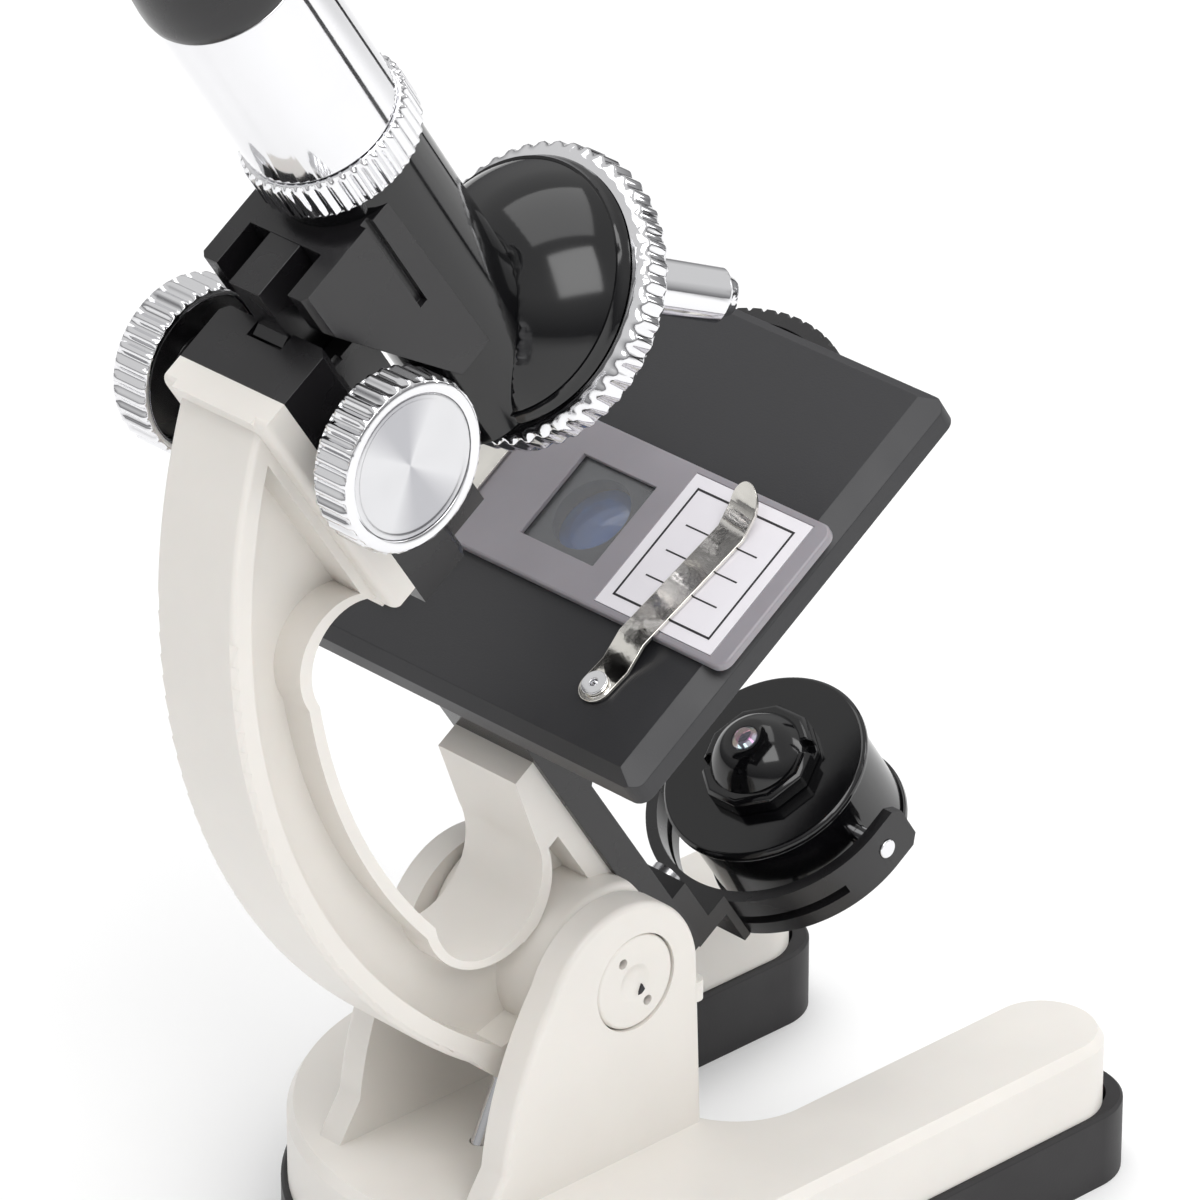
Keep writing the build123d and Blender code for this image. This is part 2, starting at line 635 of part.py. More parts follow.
# ---- body tube and carriage, arm frame ----
def tube_cone():
    """Outside of the body tube as a solid, slightly tapered."""
    return turned([(0, TUBE_TOP), (TUBE_RADIUS, TUBE_TOP), (TUBE_RADIUS - 0.4, 30.0), (0, 30.0)])


def below_rim():
    """Everything beyond the dome's rim plane, to trim pieces that end on it."""
    return TURRET_FRAME * Pos(0, 0, -DOME_EDGE - 30) * Box(120, 120, 60)


def body_tube():
    """Black body tube, stepped in above the nose and cut off on the dome's rim plane."""
    tube = tube_cone() - post(0, 0, 7.4, 20, 100)
    tube -= TURRET_FRAME * post(0, 0, 1.65, -DOME_EDGE - 1, -DOME_EDGE + 4)
    return tube - below_rim()


def carriage():
    """Black slider on the back of the tube, a channel that runs on the housing's rails."""
    side = side_face(Polyline((0, 81.6), (21.3, 81.6), (21.3, 74.5), (8.5, 49.5), (0, 49.5), (0, 81.6)))
    body = slab(side, -HEAD_HALF, HEAD_HALF)
    body = chamfer(body.edges().filter_by(Axis.Z).sort_by(Axis.Y)[-2:], 0.8)
    body -= block((-7.1, 7.1), (14.0, 30), (40, 90))
    body -= tube_cone()
    for z in RACK_SCREWS:
        body -= pin_y(0, z, 1.15, 11, 15)
    return body


def rack_screws():
    """Two screws that hold the rack in the carriage."""
    return Compound([pin_y(0, z, 1.1, 11.4, 13.95) for z in RACK_SCREWS])


def dome():
    """Black dome of the nosepiece, thin walled, with a floor that the turret turns under."""
    rim_z = -DOME_EDGE
    radius = 20.9
    rise = 12.7
    centre = rim_z + rise - radius
    shell = Pos(0, 0, centre) * Sphere(radius)
    shell -= Pos(0, 0, centre) * Sphere(radius - 1.8)
    shell -= Pos(0, 0, rim_z - 30) * Box(80, 80, 60)
    shell += post(0, 0, DOME_RIM - 0.6, rim_z, rim_z + 2)
    shell -= post(0, 0, 1.6, rim_z - 1, rim_z + 4)
    shell = TURRET_FRAME * shell
    shell -= tube_cone()
    return shell


def collar_ring():
    """Chromed knurled collar where the eyepiece enters the body tube."""
    ring = Pos(0, 0, TUBE_TOP) * extrude(fluted(44, 12.5, 0.55), COLLAR_TOP - TUBE_TOP)
    ring = ring & turned([(0, TUBE_TOP), (11.9, TUBE_TOP), (12.5, TUBE_TOP + 0.6),
                          (12.5, COLLAR_TOP - 0.9), (11.7, COLLAR_TOP), (0, COLLAR_TOP)])
    return ring - post(0, 0, 9.55, 80, 95)


def eyepiece_tube():
    """Bright eyepiece barrel with a thinner sleeve that slides in the body tube."""
    barrel = post(0, 0, EYEPIECE_RADIUS, COLLAR_TOP + 0.1, EYEPIECE_TOP)
    barrel -= post(0, 0, 9.3, COLLAR_TOP + 1.4, EYEPIECE_TOP + 1)
    sleeve = post(0, 0, 7.3, 66, COLLAR_TOP + 1.4) - post(0, 0, 6.3, 60, 100)
    barrel -= post(0, 0, 6.3, 60, 100)
    return barrel + sleeve


def eyecup():
    """Black tapered eyecup round the eye lens."""
    return turned([(4.6, EYEPIECE_TOP - 4), (9.25, EYEPIECE_TOP - 4), (9.25, EYEPIECE_TOP),
                   (11.5, EYEPIECE_TOP), (11.8, EYEPIECE_TOP + 2.5), (11.6, EYEPIECE_TOP + 6),
                   (10.2, CUP_TOP - 1), (9.2, CUP_TOP), (8.2, CUP_TOP - 0.4), (6.0, CUP_TOP - 3),
                   (4.6, CUP_TOP - 3)])


def eye_lens():
    """Double convex lens at the eye end."""
    low = EYEPIECE_TOP - 1
    return turned([(0, low - 0.6), (4.5, low), (4.5, low + 2), (0, low + 2.8)])


def field_lens():
    """Lens at the lower end of the eyepiece's sleeve."""
    return turned([(0, 68), (6.25, 68), (6.25, 69.2), (0, 70.6)])


# ---- turret, turret frame ----
def in_turret(shape):
    """Place a turret-frame shape in the arm frame."""
    return TURRET_FRAME * shape


def objective_frame(number):
    """Frame of an objective: local -Z runs from the cone point to the specimen."""
    return Rot(0, 0, 120 * number) * Rot(TURRET_TILT, 0, 0)


def turret_ring():
    """Chromed knurled ring round the turret."""
    top = -DOME_EDGE - 0.25
    low = top - TURRET_THICK
    ring = Pos(0, 0, low) * extrude(fluted(48, TURRET_RADIUS, 0.7), TURRET_THICK)
    ring = ring & turned([(0, top), (DOME_RIM + 0.5, top), (TURRET_RADIUS, top - 1.3),
                          (TURRET_RADIUS, low + 0.6), (TURRET_RADIUS - 0.8, low), (0, low)])
    return in_turret(ring - post(0, 0, 17.5, low - 1, top + 1))


def turret_plate():
    """Plate inside the ring with three slanted seats and a central hole."""
    top = -DOME_EDGE - 0.25
    low = top - TURRET_THICK
    plate = post(0, 0, 17.5, low + 0.4, low + 2.8)
    for number in range(3):
        plate += objective_frame(number) * post(0, 0, 5.6, -35.2, -29.0)
    plate -= Pos(0, 0, low + 2.8 + 10) * Box(60, 60, 20)
    for number in range(3):
        plate -= objective_frame(number) * post(0, 0, 3.4, -40, -20)
    plate -= post(0, 0, 1.65, low - 4, top + 2)
    plate -= post(0, 0, 30, low, top) - post(0, 0, 17.45, low - 1, top + 1)
    return in_turret(plate)


def turret_screw():
    """Shoulder screw and spring washer that hold the turret to the dome."""
    top = -DOME_EDGE - 0.25
    low = top - TURRET_THICK
    body = post(0, 0, 1.55, low - 0.2, -DOME_EDGE + 1.8) + post(0, 0, 3.4, low - 1.6, low - 0.1)
    body -= block((-2.4, 2.4), (-0.35, 0.35), (low - 2, low - 1.1))
    return in_turret(body)


def objective(number):
    """Chromed objective barrel with a knurled root and a stepped nose."""
    tip = OBJECTIVE_TIPS[number]
    body = turned([(1.8, -tip), (2.6, -tip), (3.3, -tip + 1.6), (3.9, -tip + 1.9), (4.0, -36.4),
                   (4.4, -36.8), (4.4, -35.3), (3.35, -35.3), (3.35, -31.5), (1.8, -31.5)])
    return in_turret(objective_frame(number) * body)


def objective_lenses():
    """Front lens of each objective."""
    group = []
    for number, tip in enumerate(OBJECTIVE_TIPS):
        lens = turned([(0, -tip + 0.3), (1.75, -tip + 0.5), (1.75, -tip + 1.5), (0, -tip + 1.7)])
        group.append(in_turret(objective_frame(number) * lens))
    return Compound(group)


# ---- lamp and mirror, arm frame ----
def in_lamp(shape):
    """Place a lamp-frame shape in the arm frame."""
    return LAMP_FRAME * shape


def lamp_drum():
    """Glossy black cup that holds the cell, open towards the stage."""
    low = -LAMP_HALF + 1.0
    cup = turned([(0, low), (LAMP_RADIUS - 0.6, low), (LAMP_RADIUS, low + 0.6), (LAMP_RADIUS, 7.2),
                  (0, 7.2)])
    cup -= post(0, 0, LAMP_RADIUS - 1.6, low + 1.8, 10)
    cup -= bar(0, 0, 1.5, -20, 20)
    return in_lamp(cup)


def lamp_flange():
    """Wide flat disc on the cup's mouth."""
    disc = turned([(7.4, 7.2), (FLANGE_RADIUS - 0.3, 7.2), (FLANGE_RADIUS, 7.5), (FLANGE_RADIUS, 8.4),
                   (FLANGE_RADIUS - 0.5, LAMP_HALF), (7.4, LAMP_HALF)])
    return in_lamp(disc)


def lamp_bezel():
    """Ten-sided grip ring with two key notches, and the cone that carries the lens."""
    grip = Pos(0, 0, LAMP_HALF) * extrude(RegularPolygon(9.1, 10), 3.2)
    grip = chamfer(grip.faces().sort_by(Axis.Z)[-1].edges(), 0.7)
    for turn in (35, 215):
        grip -= Rot(0, 0, turn) * block((7.0, 10), (-1.1, 1.1), (LAMP_HALF + 1.2, 14))
    cone = turned([(0, LAMP_HALF), (6.6, LAMP_HALF), (6.6, LAMP_HALF + 3.0), (5.6, LAMP_HALF + 4.6),
                   (3.3, 16.0), (0, 16.0)])
    bezel = grip + cone
    bezel += post(0, 0, 7.3, 5.6, LAMP_HALF + 0.1)
    bezel -= post(0, 0, 2.0, 0, 20) + post(0, 0, 5.2, 0, LAMP_HALF + 2.4)
    return in_lamp(bezel)


def lamp_lens():
    """Small domed lens at the tip of the cone."""
    return in_lamp(turned([(0, 14.6), (1.95, 14.6), (1.95, 16.1), (1.3, 16.8), (0, 17.1)]))


def lamp_bulb():
    """Light-emitting diode behind the lens."""
    bulb = post(0, 0, 1.7, 8.2, 12.4) + Pos(0, 0, 12.4) * Sphere(1.7) + post(0, 0, 2.2, 7.4, 8.3)
    return in_lamp(bulb)


def lamp_board():
    """Round board under the diode."""
    return in_lamp(post(0, 0, 5.0, 6.2, 7.4))


def contact_spring():
    """Conical contact spring between board and cell, as one closed solid."""
    return in_lamp(turned([(1.2, 6.15), (2.0, 6.15), (4.2, 2.2), (3.2, 2.2)]))


def coin_cell():
    """Stack of button cells in the drum, kept clear of the trunnion bore."""
    return in_lamp(post(0, 0, 10.0, -5.9, -2.0))


def lamp_mirror():
    """Round mirror on the drum's other face."""
    return in_lamp(post(0, 0, 13.4, -LAMP_HALF + 0.1, -LAMP_HALF + 0.95))


def mirror_rim():
    """Black rim that holds the mirror."""
    return in_lamp(turned([(13.45, -LAMP_HALF + 0.95), (13.45, -LAMP_HALF + 0.1), (12.8, -LAMP_HALF + 0.05),
                           (12.8, -LAMP_HALF - 0.5), (15.3, -LAMP_HALF - 0.5), (15.5, -LAMP_HALF),
                           (15.5, -LAMP_HALF + 0.95)]))


def trunnion_pins():
    """Two bright pins that the lamp swings on."""
    group = []
    for side in (-1, 1):
        group.append(in_lamp(bar(0, 0, 1.45, *sorted((side * 13.6, side * 21.0)))))
    return Compound(group)


def yoke():
    """Black half-round bow with slotted sides and a foot on the bracket."""
    low = -4.2
    high = 4.2
    bow = post(0, 0, YOKE_OUTER, low, high) - post(0, 0, YOKE_INNER, low - 1, high + 1)
    bow -= block((-30, 30), (-30, 0), (-10, 10))
    for side in (-1, 1):
        wall = sorted((side * YOKE_INNER, side * YOKE_OUTER))
        end = block(wall, (-5.2, 0.5), (low, high))
        bow += chamfer(end.edges().filter_by(Axis.X).sort_by(Axis.Y)[:2], 1.4)
    for side in (-1, 1):
        for turn in (22, 40, 58):
            angle = side * turn
            bow -= Rot(0, 0, angle) * block((-3.4, 3.4), (15, 25), (-1.5, 0.3))
    bow -= bar(0, 0, 1.45 + RUNNING_GAP, -30, 30)
    leg = block((-7, 7), (19.6, 27.2), (low, 14.4)) - post(0, 0, YOKE_INNER, -20, 20)
    leg -= block((-10, 10), (10, 23.4), (high + 1.6, 20))
    bow += leg
    bow -= pin_y(0, 10.5, 1.3, 10, 40)
    return in_lamp(bow)


def build():
    """Write every node."""
    os.makedirs("parts", exist_ok=True)
    world = {
        "foot_shell": foot_shell(), "sole_tray": sole_tray(), "sole_screws": sole_screws(),
        "ballast_plate": ballast_plate(), "pivot_shaft": pivot_shaft(), "stop_rod": stop_rod(),
    }
    world["pivot_caps"] = pair(pivot_cap)
    world["friction_washers"] = pair(friction_washer)
    carried = {
        "arm": arm(), "rack_housing": rack_housing(), "housing_screws": housing_screws(),
        "stage_bracket": stage_bracket(), "bracket_screws": bracket_screws(),
        "stage_screws": stage_screws(), "stage_plate": stage_plate(),
        "condenser_lens": condenser_lens(), "lens_ring": lens_ring(), "clip_rivets": clip_rivets(),
        "specimen_slide": specimen_slide(), "slide_window": slide_window(),
        "slide_label": slide_label(), "filter_disc": filter_disc(), "filter_gels": filter_gels(),
        "filter_screw": filter_screw(), "focus_shaft": focus_shaft(), "pinion": pinion(),
        "rack": rack(), "body_tube": body_tube(), "carriage": carriage(),
        "rack_screws": rack_screws(), "nose_dome": dome(), "collar_ring": collar_ring(),
        "eyepiece_tube": eyepiece_tube(), "eyecup": eyecup(), "eye_lens": eye_lens(),
        "field_lens": field_lens(), "turret_ring": turret_ring(), "turret_plate": turret_plate(),
        "turret_screw": turret_screw(), "objective_lenses": objective_lenses(),
        "lamp_drum": lamp_drum(), "lamp_flange": lamp_flange(), "lamp_bezel": lamp_bezel(),
        "lamp_lens": lamp_lens(), "lamp_bulb": lamp_bulb(), "lamp_board": lamp_board(),
        "contact_spring": contact_spring(), "coin_cell": coin_cell(), "lamp_mirror": lamp_mirror(),
        "mirror_rim": mirror_rim(), "trunnion_pins": trunnion_pins(), "yoke": yoke(),
    }
    for name, side in SIDES:
        carried[f"stage_clip_{name}"] = stage_clip(side)
    carried["knob_drums"] = pair(knob_drum)
    carried["knob_hubs"] = pair(knob_hub)
    carried["knob_faces"] = pair(knob_face)
    for number, power in enumerate(("low", "high", "mid")):
        carried[f"objective_{power}"] = objective(number)
    for name, shape in world.items():
        keep(name, shape)
    for name, shape in carried.items():
        keep(name, ARM_FRAME * shape)


build()
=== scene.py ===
"""Looks of the student microscope: softened mouldings, plated turnings, optics and the studio."""

import json
import math

import bmesh
import bpy
from mathutils import Matrix, Vector

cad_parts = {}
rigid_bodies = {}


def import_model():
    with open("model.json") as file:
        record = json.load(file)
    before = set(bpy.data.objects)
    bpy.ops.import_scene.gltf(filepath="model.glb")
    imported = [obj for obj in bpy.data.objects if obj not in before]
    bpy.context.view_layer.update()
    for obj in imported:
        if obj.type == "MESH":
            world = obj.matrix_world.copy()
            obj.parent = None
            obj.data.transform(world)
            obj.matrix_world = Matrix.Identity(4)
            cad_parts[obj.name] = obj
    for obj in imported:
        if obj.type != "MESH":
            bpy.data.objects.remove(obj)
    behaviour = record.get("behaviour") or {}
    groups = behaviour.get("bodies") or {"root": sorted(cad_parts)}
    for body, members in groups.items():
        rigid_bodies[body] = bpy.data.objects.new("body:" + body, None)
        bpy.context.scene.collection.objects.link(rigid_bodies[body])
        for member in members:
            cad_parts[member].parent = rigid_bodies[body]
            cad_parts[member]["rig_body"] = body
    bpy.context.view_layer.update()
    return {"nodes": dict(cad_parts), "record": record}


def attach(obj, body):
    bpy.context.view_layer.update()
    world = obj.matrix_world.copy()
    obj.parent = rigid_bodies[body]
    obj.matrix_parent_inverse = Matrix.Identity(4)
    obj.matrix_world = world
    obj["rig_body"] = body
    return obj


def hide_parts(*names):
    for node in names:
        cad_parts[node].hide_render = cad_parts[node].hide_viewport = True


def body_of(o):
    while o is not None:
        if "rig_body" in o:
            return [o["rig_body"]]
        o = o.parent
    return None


bl_info = {
    "name": "Student microscope",
    "version": (1, 0, 0),
    "blender": (4, 5, 0),
    "location": "View3D > Sidebar > Microscope",
    "description": "Builds a small tilting student microscope on its packed frame",
    "category": "Object",
}

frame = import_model()
JOINTS = {joint["name"]: joint for joint in frame["record"]["behaviour"]["joints"]}
MM = 0.001
STEPS_PER_RIB = 8               # facets round a turning for each of its ribs
RIB_SQUARENESS = 0.45           # 1 gives a plain wave, less gives flat crests and steep sides


# ---- frames, taken from the record's joints ----
def along(axis, origin):
    """Matrix whose local Z is the axis and whose local X is the world's X, for sizes in mm."""
    z = Vector(axis).normalized()
    x = Vector((1, 0, 0))
    y = z.cross(x)
    turn = Matrix((x, y, z)).transposed().to_4x4()
    return Matrix.Translation(Vector(origin)) @ turn @ Matrix.Scale(MM, 4)


UP = Vector(JOINTS["eyepiece_draw"]["axis"])
DRAW_HEIGHT = 0.090             # the eyepiece joint's height over the stage, up the optical axis
STAGE_TOP = Vector(JOINTS["eyepiece_draw"]["pos_m"]) - DRAW_HEIGHT * UP
ARM = along(UP, STAGE_TOP)
TURRET_AXIS = Vector(JOINTS["turret_turn"]["axis"])
TURRET = along(TURRET_AXIS, JOINTS["turret_turn"]["pos_m"])
LAMP = along(UP, JOINTS["lamp_swivel"]["pos_m"])
KNOB_CENTRE = Vector(JOINTS["focus_turn"]["pos_m"])
PIVOT = Vector(JOINTS["arm_tilt"]["pos_m"])


def knob_frame(side):
    """Matrix of one focus knob: local Z points outwards along the shaft from the shaft's middle."""
    turn = Matrix.Rotation(side * math.pi / 2, 4, "Y")
    return Matrix.Translation(KNOB_CENTRE) @ turn @ Matrix.Scale(MM, 4)


def cap_frame(side):
    """Matrix of one pivot cap: local Z points outwards along the pivot."""
    turn = Matrix.Rotation(side * math.pi / 2, 4, "Y")
    return Matrix.Translation(PIVOT) @ turn @ Matrix.Scale(MM, 4)


# ---- properties ----
class MicroscopeColours(bpy.types.PropertyGroup):
    """Colours a user would change, as sRGB hex values."""

    body: bpy.props.StringProperty(
        name="Body", description="White mouldings", default="E6E2DC")
    trim: bpy.props.StringProperty(
        name="Trim", description="Black mouldings", default="1B1A1C")
    stage: bpy.props.StringProperty(
        name="Stage", description="Stage plate", default="242427")
    sole: bpy.props.StringProperty(
        name="Sole", description="Sole of the foot", default="1A181A")
    slide: bpy.props.StringProperty(
        name="Slide", description="Specimen slide", default="949096")
    floor: bpy.props.StringProperty(
        name="Floor", description="Studio floor", default="FBFBFB")


class MicroscopeSizes(bpy.types.PropertyGroup):
    """Sizes a user would change."""

    moulded_edge: bpy.props.FloatProperty(
        name="Moulded edge", description="Rounding on the white mouldings, in mm",
        default=0.9, min=0.2, max=1.6)
    trim_edge: bpy.props.FloatProperty(
        name="Trim edge", description="Rounding on the black mouldings, in mm",
        default=0.4, min=0.1, max=0.8)
    knob_ribs: bpy.props.IntProperty(
        name="Knob ribs", description="Ribs round each focus knob", default=34, min=12, max=60)
    turret_ribs: bpy.props.IntProperty(
        name="Turret ribs", description="Ribs round the turret ring", default=48, min=12, max=90)
    lens: bpy.props.FloatProperty(
        name="Lens", description="Camera focal length, in mm",
        default=261.45, min=50, max=400)
    key_power: bpy.props.FloatProperty(
        name="Key light", description="Power of the main softbox",
        default=9.0, min=1, max=400, unit="POWER")


# ---- materials ----
def linear(code):
    """An sRGB hex value as linear red, green, blue and alpha."""
    values = []
    for start in (0, 2, 4):
        c = int(code[start:start + 2], 16) / 255
        values.append(c / 12.92 if c <= 0.04045 else ((c + 0.055) / 1.055) ** 2.4)
    return (*values, 1.0)


def add(tree, kind, inputs=None, **settings):
    """Add one node with its settings; an input is a value or the socket to link from."""
    node = tree.nodes.new(kind)
    for key, value in settings.items():
        setattr(node, key, value)
    for name, value in (inputs or {}).items():
        if isinstance(value, bpy.types.NodeSocket):
            tree.links.new(value, node.inputs[name])
        else:
            node.inputs[name].default_value = value
    return node


MATERIALS = {}


def bare_material(name):
    """Start a material: its empty node tree, and the output node in it."""
    material = bpy.data.materials.new(name)
    material.use_nodes = True
    material.node_tree.nodes.clear()
    MATERIALS[name] = material
    return material.node_tree, add(material.node_tree, "ShaderNodeOutputMaterial")


def surface(name, shader, grain_mm=0.4, depth_mm=0.01, shade=0.05, rough=(0.3, 0.4),
            patch_mm=14.0):
    """A material with grain as bump, and slow patches that shift its colour and roughness."""
    tree, out = bare_material(name)
    place = add(tree, "ShaderNodeTexCoord").outputs["Object"]
    grain = add(tree, "ShaderNodeTexNoise", {
        "Vector": place, "Scale": 1 / (grain_mm * MM), "Detail": 3.0, "Roughness": 0.55})
    patch = add(tree, "ShaderNodeTexNoise", {
        "Vector": place, "Scale": 1 / (patch_mm * MM), "Detail": 4.0})
    bump = add(tree, "ShaderNodeBump", {
        "Height": grain.outputs["Fac"], "Strength": 0.5, "Distance": depth_mm * MM})
    base = shader.pop("Base Color")
    dark = tuple(channel * (1 - shade) for channel in base[:3]) + (1.0,)
    # The noise keeps near its middle, so both ranges span only the part that it fills.
    ramp = add(tree, "ShaderNodeValToRGB", {"Fac": patch.outputs["Fac"]})
    ramp.color_ramp.elements[0].position = 0.35
    ramp.color_ramp.elements[0].color = dark
    ramp.color_ramp.elements[1].position = 0.65
    ramp.color_ramp.elements[1].color = base
    wear = add(tree, "ShaderNodeMapRange", {
        "Value": patch.outputs["Fac"], "From Min": 0.3, "From Max": 0.7,
        "To Min": rough[0], "To Max": rough[1]})
    principled = add(tree, "ShaderNodeBsdfPrincipled", {
        "Base Color": ramp.outputs["Color"], "Roughness": wear.outputs["Result"],
        "Normal": bump.outputs["Normal"], **shader})
    tree.links.new(principled.outputs["BSDF"], out.inputs["Surface"])


def make_materials(colours):
    """Every finish on the microscope, named for its stuff and how it was made."""
    # Satin ABS from a polished mould: soft broad sheen, faint pearly grain.
    surface("moulded_white_abs", {"Base Color": linear(colours.body), "IOR": 1.53,
                                  "Subsurface Weight": 0.04, "Subsurface Scale": 0.002},
            grain_mm=0.35, depth_mm=0.006, shade=0.03, rough=(0.32, 0.42))
    # Glossy black ABS: clear but slightly soft reflections.
    surface("moulded_black_abs", {"Base Color": linear(colours.trim), "IOR": 1.53},
            grain_mm=0.5, depth_mm=0.004, shade=0.2, rough=(0.2, 0.32))
    # Black ABS from a mirror-finish mould: clear dark reflections of the studio.
    surface("polished_black_abs", {"Base Color": linear("0D0D0F"), "IOR": 1.53},
            grain_mm=1.4, depth_mm=0.003, shade=0.2, rough=(0.07, 0.13))
    # Spark-eroded black ABS: fine even grain that breaks reflections into a grey veil.
    surface("grained_black_abs", {"Base Color": linear(colours.stage), "IOR": 1.53},
            grain_mm=0.3, depth_mm=0.03, shade=0.15, rough=(0.4, 0.5))
    # Flexible sole, dull with a faint warm cast.
    surface("moulded_sole_plastic", {"Base Color": linear(colours.sole), "IOR": 1.5},
            grain_mm=0.5, depth_mm=0.03, shade=0.15, rough=(0.45, 0.58))
    # Decorative chrome on moulded plastic: mirror with a slight orange-peel wave.
    surface("chrome_plating", {"Base Color": linear("E9E9EB"), "Metallic": 1.0},
            grain_mm=2.2, depth_mm=0.006, shade=0.03, rough=(0.05, 0.1))
    # Stamped spring steel, nickel plated: bright, with slow waves that break up what it mirrors.
    surface("rolled_spring_steel", {"Base Color": linear("F2EFE8"), "Metallic": 1.0},
            grain_mm=5.0, depth_mm=0.16, shade=0.08, rough=(0.07, 0.13), patch_mm=4.0)
    # Drawn steel of screws and shafts: a satin grey with a fine even grain.
    surface("drawn_steel", {"Base Color": linear("BEBEC0"), "Metallic": 1.0},
            grain_mm=0.5, depth_mm=0.01, shade=0.12, rough=(0.22, 0.34))
    # Machined brass, slightly tarnished in patches.
    surface("machined_brass", {"Base Color": linear("C9A25A"), "Metallic": 1.0},
            grain_mm=0.3, depth_mm=0.01, shade=0.3, rough=(0.25, 0.4))
    # Coated optical glass: violet-blue reflections from a thin film.
    surface("coated_optical_glass", {"Base Color": linear("E8F0FF"), "IOR": 1.52,
                                     "Transmission Weight": 0.85,
                                     "Thin Film Thickness": 420.0, "Thin Film IOR": 1.9},
            grain_mm=4.0, depth_mm=0.0005, shade=0.02, rough=(0.0, 0.02))
    # Condenser glass with a blue bloom: deep blue body under a pale skin of reflection.
    surface("bloomed_condenser_glass", {"Base Color": linear("2F6FC4"), "IOR": 1.7,
                                        "Transmission Weight": 0.1,
                                        "Thin Film Thickness": 520.0, "Thin Film IOR": 1.7},
            grain_mm=4.0, depth_mm=0.0005, shade=0.35, rough=(0.01, 0.03), patch_mm=5.0)
    # Clear injection-moulded styrene: a window with only faint waves in it.
    surface("clear_styrene", {"Base Color": linear("F4F6FA"), "IOR": 1.59,
                              "Transmission Weight": 0.95},
            grain_mm=4.0, depth_mm=0.001, shade=0.01, rough=(0.02, 0.05))
    # Frosted grey-lilac styrene: soft clouding under a low gloss.
    surface("frosted_styrene", {"Base Color": linear(colours.slide), "IOR": 1.59,
                                "Subsurface Weight": 0.1, "Subsurface Scale": 0.001},
            grain_mm=0.25, depth_mm=0.01, shade=0.08, rough=(0.28, 0.4))
    # Coated card: flat white with a faint fibre tooth.
    surface("coated_card", {"Base Color": linear("EAE7EC"), "IOR": 1.45},
            grain_mm=0.2, depth_mm=0.01, shade=0.04, rough=(0.5, 0.65))
    # Printing ink, dull black.
    surface("printing_ink", {"Base Color": linear("2B292D"), "IOR": 1.45},
            grain_mm=0.2, depth_mm=0.004, shade=0.2, rough=(0.5, 0.6))
    # Silvered glass: a clean, even mirror.
    surface("silvered_mirror", {"Base Color": linear("EFF2F4"), "Metallic": 1.0},
            grain_mm=8.0, depth_mm=0.0005, shade=0.01, rough=(0.0, 0.02))
    # Lacquered glass-fibre board: deep green under a soft gloss.
    surface("lacquered_board", {"Base Color": linear("1C5A34"), "IOR": 1.5},
            grain_mm=0.4, depth_mm=0.01, shade=0.15, rough=(0.3, 0.4))
    # Tinted gel, clear amber.
    surface("amber_gel", {"Base Color": linear("E89A2E"), "IOR": 1.49, "Transmission Weight": 0.7},
            grain_mm=1.0, depth_mm=0.002, shade=0.1, rough=(0.08, 0.15))
    # Matt paper sweep: an even white with no shine.
    surface("matt_paper", {"Base Color": linear(colours.floor)},
            grain_mm=1.5, depth_mm=0.002, shade=0.004, rough=(0.8, 0.9), patch_mm=300.0)
    spun_aluminium()


def spun_aluminium():
    """Aluminium turned on a lathe: fine rings in the bump, and a bow-tie sheen painted into its
    colour round the axis.
    """
    ring_mm = 0.22                  # a lathe's feed is finer; drawn this coarse so that it shows
    groove_mm = 0.003
    patch_mm = 6.0
    painted_sheen_arms, painted_sheen_turn = 2.0, 0.9   # the painted bow-tie sheen has two arms; it is turned by this many radians
    tree, out = bare_material("spun_aluminium")
    place = add(tree, "ShaderNodeTexCoord").outputs["Object"]
    away = add(tree, "ShaderNodeVectorMath", {0: place, 1: KNOB_CENTRE}, operation="SUBTRACT")
    flat = add(tree, "ShaderNodeVectorMath", {0: away.outputs[0], 1: (0, 1, 1)},
               operation="MULTIPLY")
    radius = add(tree, "ShaderNodeVectorMath", {0: flat.outputs[0]}, operation="LENGTH")
    turns = add(tree, "ShaderNodeMath", {
        0: radius.outputs["Value"], 1: 2 * math.pi / (ring_mm * MM)}, operation="MULTIPLY")
    wave = add(tree, "ShaderNodeMath", {0: turns.outputs[0]}, operation="SINE")
    bump = add(tree, "ShaderNodeBump", {
        "Height": wave.outputs[0], "Strength": 0.25, "Distance": groove_mm * MM})
    tangent = add(tree, "ShaderNodeTangent", direction_type="RADIAL", axis="X")
    patch = add(tree, "ShaderNodeTexNoise", {
        "Vector": place, "Scale": 1 / (patch_mm * MM), "Detail": 3.0})
    rough = add(tree, "ShaderNodeMapRange", {
        "Value": patch.outputs["Fac"], "To Min": 0.2, "To Max": 0.3})
    split = add(tree, "ShaderNodeSeparateXYZ", {"Vector": flat.outputs[0]})
    turn = add(tree, "ShaderNodeMath", {0: split.outputs["Y"], 1: split.outputs["Z"]},
               operation="ARCTAN2")
    arms = add(tree, "ShaderNodeMath", {0: turn.outputs[0], 1: painted_sheen_arms, 2: painted_sheen_turn},
               operation="MULTIPLY_ADD")
    painted_sheen = add(tree, "ShaderNodeMath", {0: arms.outputs[0]}, operation="SINE")
    # Painted sheen: the colour goes lighter and darker round the axis in two arms, standing in for
    # the light that the rings throw.
    shade = add(tree, "ShaderNodeValToRGB", {"Fac": painted_sheen.outputs[0]})
    shade.color_ramp.elements[0].color = linear("D9D9DB")
    shade.color_ramp.elements[1].position = 0.9
    shade.color_ramp.elements[1].color = linear("B4B4B8")
    principled = add(tree, "ShaderNodeBsdfPrincipled", {
        "Base Color": shade.outputs["Color"], "Metallic": 1.0, "Roughness": rough.outputs["Result"],
        "Anisotropic": 0.8, "Normal": bump.outputs["Normal"],
        "Tangent": tangent.outputs["Tangent"]})
    tree.links.new(principled.outputs["BSDF"], out.inputs["Surface"])


